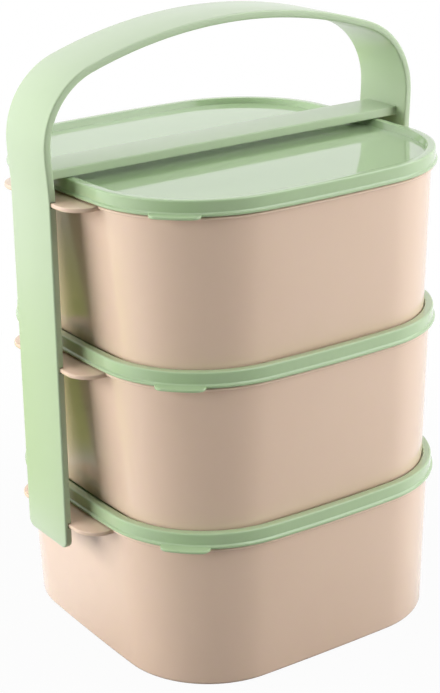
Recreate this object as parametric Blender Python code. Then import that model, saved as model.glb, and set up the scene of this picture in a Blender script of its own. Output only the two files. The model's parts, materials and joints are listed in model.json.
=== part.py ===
"""Stacking lunch box: three tubs with press-on lids, held together by a carrying handle.

The tubs are one moulding made three times, and so are the lids. Each tub has a flat ear on its left and
right side at the rim. The handle's two arms have a blind slot for every ear, open to the front and back,
and its crossbar lies just above the top lid, so the handle slides on level from the front or the back.

Metres, +Z up. The origin is on the floor under the middle of the stack, the crossbar runs along X, and
the handle slides along Y.
"""

import math

import bmesh
import bpy
from mathutils import Vector

# Stack
TIERS = ("bottom", "middle", "top")
FIT_GAP = 0.0003  # air between pieces that seat on each other
SEAM_GAP = 0.0007  # between a lid's lower edge and the collar of its tub

# Lid. Insets are measured inwards from the lid's edge, heights upwards from its lower edge.
LID_WIDTH = 0.170
LID_CORNER = 0.0535
SIDE_BOW = 0.620  # radius of the gently bowed sides, seen from above
LID_HEIGHT = 0.0067
FLANGE_HEIGHT = 0.0012
FLANGE_SLOPE = 0.0005  # rise from the flange to the foot of the band
BAND_INSET = 0.0008
BAND_WALL = 0.00085
SHOULDER_RADIUS = 0.0008
CREST_WIDTH = 0.0027
PANEL_HEIGHT = 0.0040
PANEL_THICKNESS = 0.0015
ROOF_THICKNESS = 0.0016  # of the lid above the tub's lip
PLUG_WALL = 0.0010
PLUG_DEPTH = 0.0017  # below the underside of the panel
CATCH_REACH = 0.00045  # of the lid's catch inwards, and of the tub's bead above it outwards
RECESS_SLOPE = 0.0025  # run of the slope from the crest down to the panel
LID_EDGE_ROUND = 0.0003
TAB_WIDTH = 0.0232
TAB_REACH = 0.0045
TAB_THICKNESS = 0.0012
TAB_END_RADIUS = 0.0040

# Tub. Insets are again measured from the lid's edge, heights from the tub's own base.
COLLAR_TOP = 0.0679
COLLAR_THICKNESS = 0.0012
COLLAR_INSET = 0.0012
COLLAR_ROUND = 0.0004
WALL_INSET = 0.0025
TUB_WALL = 0.0018
TUB_FLOOR = 0.0020
BASE_CORNER_GAP = 0.00075  # between a base's corner and the crest of the lid under it
BASE_BOW = 1.5
BASE_EDGE_RADIUS = 0.0018
FLOOR_FILLET = 0.0045
LIP_WALL = 0.0012
LIP_ROUND = 0.00035
BEAD_HEIGHT = 0.0012
EAR_LENGTH = 0.066
EAR_REACH = 0.0106  # beyond the lid's edge
EAR_THICKNESS = 0.0020
EAR_END_RADIUS = 0.0116
EAR_EDGE_ROUND = 0.0005

# Handle
STRAP_WIDTH = 0.0334
STRAP_THICKNESS = 0.0034
STRAP_EDGE_RADIUS = 0.0008
SLOT_WEB = 0.0006  # plastic left behind the top slots
SLOT_GAP = 0.0003
ARM_SPLAY = 0.0011  # how much wider the arms stand at their lower end than at the top slots
SHOULDER_SWELL = 0.0010  # how much wider the handle is above the crossbar than at the top slots
ARM_END_BELOW_EAR = 0.0103
ARM_END_RADIUS = 0.0040
ARCH_RISE = 0.0552  # outer face of the arch above the crossbar's top
ARCH_RADIUS = 0.224
ARCH_CORNER_RADIUS = 0.0357
BAR_WIDTH = 0.021
BAR_THICKNESS = 0.0042
BAR_EDGE_RADIUS = 0.0006

# Facets
SIDE_STEPS = 3
CORNER_STEPS = 7
ROUND_STEPS = 3

# Derived sizes
LID_SEAT = COLLAR_TOP + SEAM_GAP  # a lid's lower edge above its tub's base
PITCH = LID_SEAT + PANEL_HEIGHT + FIT_GAP
BAND_INNER_INSET = BAND_INSET + BAND_WALL
LIP_INSET = BAND_INNER_INSET + CATCH_REACH + FIT_GAP
LIP_INNER_INSET = LIP_INSET + LIP_WALL
LIP_TOP = LID_SEAT + LID_HEIGHT - ROOF_THICKNESS - FIT_GAP
BEAD_LEVEL = LID_SEAT + FLANGE_HEIGHT + FIT_GAP + BEAD_HEIGHT / 2
PLUG_INSET = LIP_INNER_INSET + FIT_GAP
CREST_INNER_INSET = BAND_INSET + SHOULDER_RADIUS + CREST_WIDTH
BASE_INSET = CREST_INNER_INSET + RECESS_SLOPE
BASE_WIDTH = LID_WIDTH - 2 * BASE_INSET
EAR_TIP = LID_WIDTH / 2 + EAR_REACH
TOP_EAR_LEVEL = (len(TIERS) - 1) * PITCH + COLLAR_TOP
ARM_HALF_SPAN = EAR_TIP + SLOT_GAP + SLOT_WEB  # outer face, at the top slots
BAR_BOTTOM = TOP_EAR_LEVEL + SEAM_GAP + LID_HEIGHT + FIT_GAP
BAR_TOP = BAR_BOTTOM + BAR_THICKNESS
ARM_END = COLLAR_TOP - EAR_THICKNESS - ARM_END_BELOW_EAR

BEIGE = (0.72, 0.56, 0.44, 1.0)
PALE_GREEN = (0.50, 0.68, 0.42, 1.0)


def corner_centre(width, corner, bow):
    """The x and y of a corner arc's centre, in a square with bowed sides that run smoothly into it."""
    shift = bow - width / 2
    return (math.sqrt(2 * (bow - corner) ** 2 - shift**2) - shift) / 2


def corner_within(width, bow, diagonal):
    """The corner radius that makes such a square reach just as far as diagonal, from its middle."""
    shift = bow - width / 2
    spare = bow - shift / math.sqrt(2) - diagonal
    return bow - (shift**2 / 2 + spare**2) / (2 * spare)


def plan_outline(width, corner, bow, z):
    """Points round a square with bowed sides and round corners, anticlockwise seen from above."""
    shift = bow - width / 2
    centre = corner_centre(width, corner, bow)
    turn = math.atan2(centre, centre + shift)
    quarter = []
    for step in range(SIDE_STEPS):
        angle = -turn + 2 * turn * step / SIDE_STEPS
        quarter.append((bow * math.cos(angle) - shift, bow * math.sin(angle)))
    for step in range(CORNER_STEPS):
        angle = turn + (math.pi / 2 - 2 * turn) * step / CORNER_STEPS
        quarter.append((centre + corner * math.cos(angle), centre + corner * math.sin(angle)))
    points = list(quarter)
    for _ in range(3):
        quarter = [(-y, x) for x, y in quarter]
        points += quarter
    return [Vector((x, y, z)) for x, y in points]


def edge_outline(inset, z):
    """The lid's outline moved inwards by inset, at height z."""
    return plan_outline(LID_WIDTH - 2 * inset, LID_CORNER - inset, SIDE_BOW - inset, z)


def base_corner():
    """The base's corner radius: its corners just clear the crest of the lid that it stands in."""
    crest_width = LID_WIDTH - 2 * CREST_INNER_INSET
    crest_corner = LID_CORNER - CREST_INNER_INSET
    centre = corner_centre(crest_width, crest_corner, SIDE_BOW - CREST_INNER_INSET)
    return corner_within(BASE_WIDTH, BASE_BOW, math.sqrt(2) * centre + crest_corner - BASE_CORNER_GAP)


def base_outline(inset, z):
    """The outline of a tub's base moved inwards by inset, at height z."""
    return plan_outline(BASE_WIDTH - 2 * inset, base_corner() - inset, BASE_BOW - inset, z)


def wall_outline(depth, z):
    """The drafted tub wall at height z, moved inwards by depth."""
    share = z / COLLAR_TOP
    low = base_outline(depth, z)
    high = edge_outline(WALL_INSET + depth, z)
    return [a.lerp(b, share) for a, b in zip(low, high)]


def quarter_round(radius, steps=ROUND_STEPS):
    """Pairs of (run, rise) along a quarter circle, from (0, 0) to (radius, radius)."""
    angles = [math.pi / 2 * step / steps for step in range(steps + 1)]
    return [(radius * (1 - math.cos(a)), radius * math.sin(a)) for a in angles]


def face_outwards(bm):
    """Turns all faces of a closed solid outwards."""
    bmesh.ops.recalc_face_normals(bm, faces=bm.faces)
    if bm.calc_volume(signed=True) < 0:
        bmesh.ops.reverse_faces(bm, faces=bm.faces)


def loft(bm, sections):
    """Skins a closed solid through the sections and caps the first and the last."""
    rings = [[bm.verts.new(point) for point in points] for points in sections]
    for near, far in zip(rings, rings[1:]):
        for side in range(len(near)):
            bm.faces.new((near[side - 1], near[side], far[side], far[side - 1]))
    bm.faces.new(rings[0])
    bm.faces.new(rings[-1])
    face_outwards(bm)


def rounded_plate(bm, outline, z, thickness, ease):
    """A flat plate from z upwards, its outline given as (x, y) pairs, with eased edges."""
    face = bm.faces.new([bm.verts.new((x, y, z)) for x, y in outline])
    grown = bmesh.ops.extrude_face_region(bm, geom=[face])["geom"]
    verts = [item for item in grown if isinstance(item, bmesh.types.BMVert)]
    bmesh.ops.translate(bm, verts=verts, vec=(0, 0, thickness))
    face_outwards(bm)
    rims = [edge for edge in bm.edges if abs(edge.verts[0].co.z - edge.verts[1].co.z) < thickness / 2]
    bmesh.ops.bevel(bm, geom=rims, offset=ease, segments=1, profile=0.5, affect="EDGES")


def box(bm, low, high):
    """A plain box between two corners."""
    made = bmesh.ops.create_cube(bm, size=1.0)["verts"]
    size = Vector(high) - Vector(low)
    bmesh.ops.scale(bm, verts=made, vec=size)
    bmesh.ops.translate(bm, verts=made, vec=(Vector(high) + Vector(low)) / 2)
    return made


def mesh_of(name, build, *args):
    """A new mesh filled by a function that takes a bmesh."""
    bm = bmesh.new()
    build(bm, *args)
    mesh = bpy.data.meshes.new(name)
    bm.to_mesh(mesh)
    bm.free()
    return mesh


def combined(name, base, tools):
    """The base mesh after its tools, pairs of (operation, mesh), are joined to it or cut from it."""
    body = bpy.data.objects.new(name, base)
    bpy.context.scene.collection.objects.link(body)
    helpers = []
    for operation, mesh in tools:
        helper = bpy.data.objects.new(name + "_tool", mesh)
        bpy.context.scene.collection.objects.link(helper)
        helpers.append(helper)
        modifier = body.modifiers.new(operation.title(), "BOOLEAN")
        modifier.operation = operation
        modifier.object = helper
    graph = bpy.context.evaluated_depsgraph_get()
    mesh = bpy.data.meshes.new_from_object(body.evaluated_get(graph))
    for used in [body] + helpers:
        bpy.data.objects.remove(used)
    mesh.name = name
    return mesh


def tub_shell(bm):
    """A tub without its ears, from the inside of its floor over the rim to its base."""
    sections = []
    for run, rise in quarter_round(FLOOR_FILLET):
        sections.append(wall_outline(TUB_WALL + FLOOR_FILLET - rise, TUB_FLOOR + run))
    ledge = COLLAR_TOP - COLLAR_THICKNESS / 2
    sections.append(wall_outline(TUB_WALL, ledge))
    sections.append(edge_outline(LIP_INNER_INSET, COLLAR_TOP))
    sections.append(edge_outline(LIP_INNER_INSET, LIP_TOP - LIP_ROUND))
    sections.append(edge_outline(LIP_INNER_INSET - LIP_ROUND, LIP_TOP))
    sections.append(edge_outline(LIP_INSET + LIP_ROUND, LIP_TOP))
    for inset, z in (
        (LIP_INSET, LIP_TOP - LIP_ROUND),
        (LIP_INSET, BEAD_LEVEL + BEAD_HEIGHT / 2),
        (LIP_INSET - CATCH_REACH, BEAD_LEVEL),
        (LIP_INSET, BEAD_LEVEL - BEAD_HEIGHT / 2),
        (LIP_INSET, COLLAR_TOP),
        (COLLAR_INSET + COLLAR_ROUND, COLLAR_TOP),
        (COLLAR_INSET, COLLAR_TOP - COLLAR_ROUND),
        (COLLAR_INSET, COLLAR_TOP - COLLAR_THICKNESS + COLLAR_ROUND),
        (COLLAR_INSET + COLLAR_ROUND, COLLAR_TOP - COLLAR_THICKNESS),
    ):
        sections.append(edge_outline(inset, z))
    sections.append(wall_outline(0, COLLAR_TOP - COLLAR_THICKNESS))
    for run, rise in reversed(quarter_round(BASE_EDGE_RADIUS)):
        sections.append(wall_outline(BASE_EDGE_RADIUS - rise, run))
    loft(bm, sections)


def ear_plate(bm, side):
    """One ear: a flat plate that grows out of the collar, with both outer corners rounded off."""
    root = LID_WIDTH / 2 - WALL_INSET - TUB_WALL * 0.6
    centre = (EAR_TIP - EAR_END_RADIUS, EAR_LENGTH / 2 - EAR_END_RADIUS)
    steps = 2 * ROUND_STEPS
    outline = [(root, -EAR_LENGTH / 2)]
    for sign in (-1, 1):
        for step in range(steps + 1):
            angle = math.pi / 2 * (step / steps if sign > 0 else step / steps - 1)
            reach = Vector((math.cos(angle), math.sin(angle))) * EAR_END_RADIUS
            outline.append((centre[0] + reach.x, sign * centre[1] + reach.y))
    outline.append((root, EAR_LENGTH / 2))
    if side < 0:
        outline = [(-x, -y) for x, y in outline]
    rounded_plate(bm, outline, COLLAR_TOP - EAR_THICKNESS, EAR_THICKNESS, EAR_EDGE_ROUND)


def tub_mesh():
    """One tub with its collar and ears."""
    ears = [("UNION", mesh_of("ear", ear_plate, side)) for side in (-1, 1)]
    return combined("tub", mesh_of("tub_shell", tub_shell), ears)


def lid_shell(bm):
    """A lid without its tab, from the middle of its top over the rim to the underside of the panel."""
    sections = [base_outline(0, PANEL_HEIGHT)]
    sections.append(edge_outline(CREST_INNER_INSET + LID_EDGE_ROUND, LID_HEIGHT - LID_EDGE_ROUND))
    sections.append(edge_outline(CREST_INNER_INSET - LID_EDGE_ROUND, LID_HEIGHT))
    for run, rise in reversed(quarter_round(SHOULDER_RADIUS)):
        sections.append(edge_outline(BAND_INSET + run, LID_HEIGHT - SHOULDER_RADIUS + rise))
    roof = LID_HEIGHT - ROOF_THICKNESS
    plug_end = PANEL_HEIGHT - PANEL_THICKNESS - PLUG_DEPTH
    for inset, z in (
        (BAND_INSET, FLANGE_HEIGHT + FLANGE_SLOPE),
        (LID_EDGE_ROUND, FLANGE_HEIGHT),
        (0, FLANGE_HEIGHT - LID_EDGE_ROUND),
        (0, LID_EDGE_ROUND),
        (LID_EDGE_ROUND, 0),
        (BAND_INNER_INSET - CATCH_REACH / 2, 0),
        (BAND_INNER_INSET + CATCH_REACH, FLANGE_HEIGHT / 2),
        (BAND_INNER_INSET, FLANGE_HEIGHT),
        (BAND_INNER_INSET, roof),
        (PLUG_INSET, roof),
        (PLUG_INSET, plug_end + LID_EDGE_ROUND),
        (PLUG_INSET + LID_EDGE_ROUND, plug_end),
        (PLUG_INSET + PLUG_WALL, plug_end),
        (PLUG_INSET + PLUG_WALL, PANEL_HEIGHT - PANEL_THICKNESS),
    ):
        sections.append(edge_outline(inset, z))
    loft(bm, sections)


def tab_plate(bm):
    """The pull tab: a thin lip along the lid's front left corner, with rounded ends."""
    middle = -corner_centre(LID_WIDTH, LID_CORNER, SIDE_BOW)
    outer = LID_CORNER + TAB_REACH
    half_turn = TAB_WIDTH / 2 / outer
    end_turn = TAB_END_RADIUS / outer
    polar = [(LID_CORNER - BAND_INSET, -half_turn)]
    for run, rise in quarter_round(TAB_END_RADIUS):
        polar.append((outer - TAB_END_RADIUS + rise, -half_turn + run / outer))
    for step in range(1, 2 * ROUND_STEPS):
        share = step / (2 * ROUND_STEPS)
        polar.append((outer, (2 * share - 1) * (half_turn - end_turn)))
    for run, rise in reversed(quarter_round(TAB_END_RADIUS)):
        polar.append((outer - TAB_END_RADIUS + rise, half_turn - run / outer))
    polar.append((LID_CORNER - BAND_INSET, half_turn))
    diagonal = math.radians(225)
    outline = [
        (middle + r * math.cos(diagonal + turn), middle + r * math.sin(diagonal + turn)) for r, turn in polar
    ]
    rounded_plate(bm, outline, 0, TAB_THICKNESS, LID_EDGE_ROUND)


def lid_mesh():
    """One lid with its pull tab."""
    return combined("lid", mesh_of("lid_shell", lid_shell), [("UNION", mesh_of("tab", tab_plate))])


def strap_path():
    """Pairs of (point, outward direction) up the right arm's outer face and over to the arch's middle."""
    lean = ARM_SPLAY / (TOP_EAR_LEVEL - ARM_END)
    heights = [ARM_END + run for run, _ in quarter_round(ARM_END_RADIUS, 2 * ROUND_STEPS - 1)]
    heights += [ARM_END + (TOP_EAR_LEVEL - ARM_END) * share for share in (0.25, 0.5, 0.75, 1)]
    path = []
    for z in heights:
        path.append((Vector((ARM_HALF_SPAN + lean * (TOP_EAR_LEVEL - z), 0, z)), Vector((1, 0, lean))))
    # The corner arc meets the wide top arc smoothly and is upright where the handle is widest.
    corner_x = ARM_HALF_SPAN + SHOULDER_SWELL - ARCH_CORNER_RADIUS
    top_centre = Vector((0, 0, BAR_TOP + ARCH_RISE - ARCH_RADIUS))
    gap = ARCH_RADIUS - ARCH_CORNER_RADIUS
    corner = Vector((corner_x, 0, top_centre.z + math.sqrt(gap**2 - corner_x**2)))
    swell_height = corner.z - TOP_EAR_LEVEL
    for share in (0.25, 0.5, 0.75):
        ease = share * share * (3 - 2 * share)
        slope = 6 * share * (1 - share) * SHOULDER_SWELL / swell_height
        point = Vector((ARM_HALF_SPAN + SHOULDER_SWELL * ease, 0, TOP_EAR_LEVEL + swell_height * share))
        path.append((point, Vector((1, 0, -slope))))
    end = math.atan2(corner.z - top_centre.z, corner.x)
    for step in range(3 * ROUND_STEPS + 1):
        angle = end * step / (3 * ROUND_STEPS)
        out = Vector((math.cos(angle), 0, math.sin(angle)))
        path.append((corner + out * ARCH_CORNER_RADIUS, out))
    for step in range(1, 2 * ROUND_STEPS + 1):
        angle = end + (math.pi / 2 - end) * step / (2 * ROUND_STEPS)
        out = Vector((math.cos(angle), 0, math.sin(angle)))
        path.append((top_centre + out * ARCH_RADIUS, out))
    return [(point, out.normalized()) for point, out in path]


def strap_section(point, out, depth, half_width, half_thickness):
    """A rectangle with round corners across the strap, depth below its outer face."""
    radius = min(STRAP_EDGE_RADIUS, half_thickness * 0.9)
    middle = point - out * depth
    section = []
    for across, along in ((1, 1), (-1, 1), (-1, -1), (1, -1)):
        arc = [(radius - run, radius - rise) for run, rise in quarter_round(radius, 2)]
        if across * along < 0:
            arc.reverse()
        for run, rise in arc:
            offset = out * across * (half_thickness - run) + Vector((0, along * (half_width - rise), 0))
            section.append(middle + offset)
    return section


def strap(bm):
    """The arms and the arch in one bent strap with rounded ends."""
    middle = STRAP_THICKNESS / 2
    half = []
    for point, out in strap_path():
        corner_left = max(0.0, ARM_END_RADIUS - (point.z - ARM_END))
        width_cut = ARM_END_RADIUS - math.sqrt(max(0.0, ARM_END_RADIUS**2 - corner_left**2))
        round_left = max(0.0, middle - (point.z - ARM_END))
        thickness = max(math.sqrt(max(0.0, middle**2 - round_left**2)), middle * 0.25)
        half.append(strap_section(point, out, middle, STRAP_WIDTH / 2 - width_cut, thickness))
    mirrored = []
    for section in reversed(half[:-1]):
        flipped = [Vector((-p.x, p.y, p.z)) for p in section]
        mirrored.append(flipped)
    loft(bm, half + mirrored)


def crossbar(bm):
    """The flat bar between the arms, with rounded long edges, let into both arms."""
    reach = ARM_HALF_SPAN - STRAP_THICKNESS / 2
    made = box(bm, (-reach, -BAR_WIDTH / 2, BAR_BOTTOM), (reach, BAR_WIDTH / 2, BAR_TOP))
    edges = {edge for vert in made for edge in vert.link_edges}
    long_edges = [edge for edge in edges if abs(edge.verts[0].co.x - edge.verts[1].co.x) > reach]
    bmesh.ops.bevel(bm, geom=long_edges, offset=BAR_EDGE_RADIUS, segments=2, profile=0.5, affect="EDGES")


def slot_cutter(bm, side, tier):
    """The blind slot for one ear, right through the arm's width but not through its outer face."""
    top = tier * PITCH + COLLAR_TOP + SLOT_GAP
    bottom = tier * PITCH + COLLAR_TOP - EAR_THICKNESS - SLOT_GAP
    inside = ARM_HALF_SPAN - 2 * STRAP_THICKNESS
    low, high = sorted((side * inside, side * (EAR_TIP + SLOT_GAP)))
    box(bm, (low, -STRAP_WIDTH, bottom), (high, STRAP_WIDTH, top))


def handle_mesh():
    """The carrying handle: strap, crossbar and the six slots."""
    tools = [("UNION", mesh_of("crossbar", crossbar))]
    for tier in range(len(TIERS)):
        for side in (-1, 1):
            tools.append(("DIFFERENCE", mesh_of("slot", slot_cutter, side, tier)))
    return combined("carry_handle", mesh_of("strap", strap), tools)


def plastic(name, colour, roughness):
    """A plain moulded plastic."""
    material = bpy.data.materials.new(name)
    material.use_nodes = True
    shader = material.node_tree.nodes["Principled BSDF"]
    shader.inputs["Base Color"].default_value = colour
    shader.inputs["Roughness"].default_value = roughness
    shader.inputs["Metallic"].default_value = 0.0
    return material


def place(name, mesh, material, location, parent):
    """An object of the mesh, in its place in the stack."""
    mesh.materials.clear()
    mesh.materials.append(material)
    mesh.shade_smooth()
    mesh.set_sharp_from_angle(angle=math.radians(35))
    item = bpy.data.objects.new(name, mesh)
    bpy.context.scene.collection.objects.link(item)
    item.location = location
    item.parent = parent
    return item


def main():
    """Clears the scene and builds the seven pieces."""
    for old in list(bpy.data.objects):
        bpy.data.objects.remove(old)
    stack = bpy.data.objects.new("stack", None)
    bpy.context.scene.collection.objects.link(stack)
    beige = plastic("beige_plastic", BEIGE, 0.22)
    green = plastic("pale_green_plastic", PALE_GREEN, 0.25)
    tub = tub_mesh()
    lid = lid_mesh()
    for index, tier in enumerate(TIERS):
        place("tub_" + tier, tub, beige, (0, 0, index * PITCH), stack)
        place("lid_" + tier, lid, green, (0, 0, index * PITCH + LID_SEAT), stack)
    # The handle's origin is in the middle of its crossbar, on the line that it slides along.
    handle = handle_mesh()
    middle = Vector((0, 0, (BAR_BOTTOM + BAR_TOP) / 2))
    for vertex in handle.vertices:
        vertex.co -= middle
    place("carry_handle", handle, green, middle, stack)


main()
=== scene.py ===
"""Stacking lunch box: three beige tubs with pale green lids in a carrying handle, dressed and lit.

The pieces are modelled with Blender's own tools at the sizes of the frame, one class for each kind of
moulding, and each takes the place of its plain solid. Metres, +Z up, the handle slides along Y.
"""

import json
import logging
import math
from dataclasses import dataclass
from enum import Enum
from typing import Any, Callable, Union

import bmesh
import bpy
from mathutils import Matrix, Vector

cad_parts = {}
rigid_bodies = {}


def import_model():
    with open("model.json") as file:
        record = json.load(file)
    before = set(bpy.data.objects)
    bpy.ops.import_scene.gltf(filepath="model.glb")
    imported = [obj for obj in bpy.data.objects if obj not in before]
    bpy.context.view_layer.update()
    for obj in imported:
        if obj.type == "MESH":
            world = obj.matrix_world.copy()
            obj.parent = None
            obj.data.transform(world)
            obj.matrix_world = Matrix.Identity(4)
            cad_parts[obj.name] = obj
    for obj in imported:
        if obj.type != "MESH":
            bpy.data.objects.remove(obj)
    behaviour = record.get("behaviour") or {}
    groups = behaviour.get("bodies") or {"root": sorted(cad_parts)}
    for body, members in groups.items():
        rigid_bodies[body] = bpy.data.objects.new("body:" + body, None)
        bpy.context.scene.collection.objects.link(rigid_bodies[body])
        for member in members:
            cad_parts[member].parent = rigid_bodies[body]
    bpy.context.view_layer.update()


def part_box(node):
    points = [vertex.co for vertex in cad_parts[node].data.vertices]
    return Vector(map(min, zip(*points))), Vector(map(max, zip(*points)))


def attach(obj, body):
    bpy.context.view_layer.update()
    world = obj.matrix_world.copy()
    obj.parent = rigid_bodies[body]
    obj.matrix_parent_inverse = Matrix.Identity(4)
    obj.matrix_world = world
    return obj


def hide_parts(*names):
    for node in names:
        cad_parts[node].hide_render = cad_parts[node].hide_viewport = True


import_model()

log = logging.getLogger("lunch_box")

MM = 0.001
TINY = 0.01 * MM  # places nearer than this are the same
UPWARDS = Vector((0, 0, 1)).freeze()
TIERS = ("bottom", "middle", "top")
PHOTO_WIDTH = 440
PHOTO_HEIGHT = 693

# Sizes that the tubs, the lids and the handle share

FIT_GAP = 0.3 * MM  # air between pieces that seat on each other
LID_CORNER = 53.5 * MM
SIDE_BOW = 620 * MM  # radius of the gently bowed sides, seen from above
CREST_INSET = 4.3 * MM  # from a lid's outer edge to the inner edge of its crest
RECESS_SLOPE = 2.5 * MM  # run of the slope from the crest down to the panel
BASE_BOW = 1500 * MM
BASE_CORNER_GAP = 0.75 * MM  # between a base's corner and the crest of the lid under it


class Body(Enum):
    """The moving bodies of the frame."""

    STACK = "stack"
    HANDLE = "handle"


class Slot(Enum):
    """The material slots of the record."""

    TUB = "tub_plastic"
    LID = "lid_plastic"
    HANDLE = "handle_plastic"


class Facing(Enum):
    """Which way a level face looks."""

    UP = 1
    DOWN = -1


class Element(Enum):
    """What a selection is made of."""

    VERTEX = "VERT"
    EDGE = "EDGE"
    FACE = "FACE"


class Use(Enum):
    """What a second solid is used for on a first one."""

    ADD = "UNION"
    CUT = "DIFFERENCE"


# Modelling by hand


def shares(steps: int) -> list[float]:
    """The shares from 0 to 1 that a number of equal steps reaches."""
    return [step / steps for step in range(steps + 1)]


def deselect_all() -> None:
    """Leaves edit mode and deselects every object."""
    if bpy.context.object is not None and bpy.context.object.mode != "OBJECT":
        bpy.ops.object.mode_set(mode="OBJECT")
    bpy.ops.object.select_all(action="DESELECT")


def pick(item: bpy.types.Object) -> None:
    """Selects one object and no other, and makes it the active one.

    Args:
        item: The object.
    """
    deselect_all()
    item.select_set(True)
    bpy.context.view_layer.objects.active = item


def apply_modifier(item: bpy.types.Object, kind: str, settings: dict[str, Any]) -> None:
    """Adds one modifier to an object and applies it at once.

    Args:
        item: The object to change.
        kind: The modifier's type.
        settings: The values of its properties.
    """
    pick(item)
    modifier = item.modifiers.new(kind.title(), kind)
    for name, value in settings.items():
        setattr(modifier, name, value)
    bpy.ops.object.modifier_apply(modifier=modifier.name)


def combine(item: bpy.types.Object, tool: bpy.types.Object, use: Use) -> None:
    """Joins a closed solid, the tool, to an item or cuts it away, and removes the tool."""
    apply_modifier(item, "BOOLEAN", {"object": tool, "operation": use.value, "solver": "EXACT"})
    bpy.data.objects.remove(tool)


def copy_of(item: bpy.types.Object) -> bpy.types.Object:
    """Copies a piece, with a mesh of its own.

    Args:
        item: The piece to copy.

    Returns:
        The copy, in the same place.
    """
    made = item.copy()
    made.data = item.data.copy()
    bpy.context.scene.collection.objects.link(made)
    return made


def set_down(item: bpy.types.Object, name: str, z: float) -> bpy.types.Object:
    """Names a piece and moves its mesh up to its place, with the object left at the origin.

    Args:
        item: The piece.
        name: Its new name.
        z: How far up it goes.

    Returns:
        The same piece.
    """
    pick(item)
    bpy.ops.transform.translate(value=(0, 0, z))
    bpy.ops.object.transform_apply(location=True, rotation=True, scale=True)
    item.name = name
    item.data.name = name
    return item


@dataclass(frozen=True)
class Outline:
    """A square seen from above, with bowed sides that run smoothly into round corners.

    Attributes:
        width: Across the sides, where the bow is widest.
        corner: Radius of the corners.
        bow: Radius of the sides.
    """

    width: float
    corner: float
    bow: float

    @property
    def shift(self) -> float:
        """How far a side's centre lies beyond the middle."""
        return self.bow - self.width / 2

    @property
    def corner_centre(self) -> float:
        """The x and y of a corner arc's centre."""
        return (math.sqrt(2 * (self.bow - self.corner) ** 2 - self.shift**2) - self.shift) / 2

    @property
    def diagonal(self) -> float:
        """How far the corners reach from the middle."""
        return math.sqrt(2) * self.corner_centre + self.corner

    @property
    def turn(self) -> float:
        """Half the angle that a side's arc takes."""
        return math.atan2(self.corner_centre, self.corner_centre + self.shift)

    def inset(self, distance: float) -> "Outline":
        """The same outline moved inwards by a distance."""
        return Outline(self.width - 2 * distance, self.corner - distance, self.bow - distance)

    @classmethod
    def reaching(cls, width: float, bow: float, diagonal: float) -> "Outline":
        """An outline whose corners reach to a given diagonal.

        Args:
            width: Across the sides.
            bow: Radius of the sides.
            diagonal: From the middle to a corner.

        Returns:
            The outline, its corner radius worked out.
        """
        shift = bow - width / 2
        spare = bow - shift / math.sqrt(2) - diagonal
        return cls(width, bow - (shift**2 / 2 + spare**2) / (2 * spare), bow)


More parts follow.
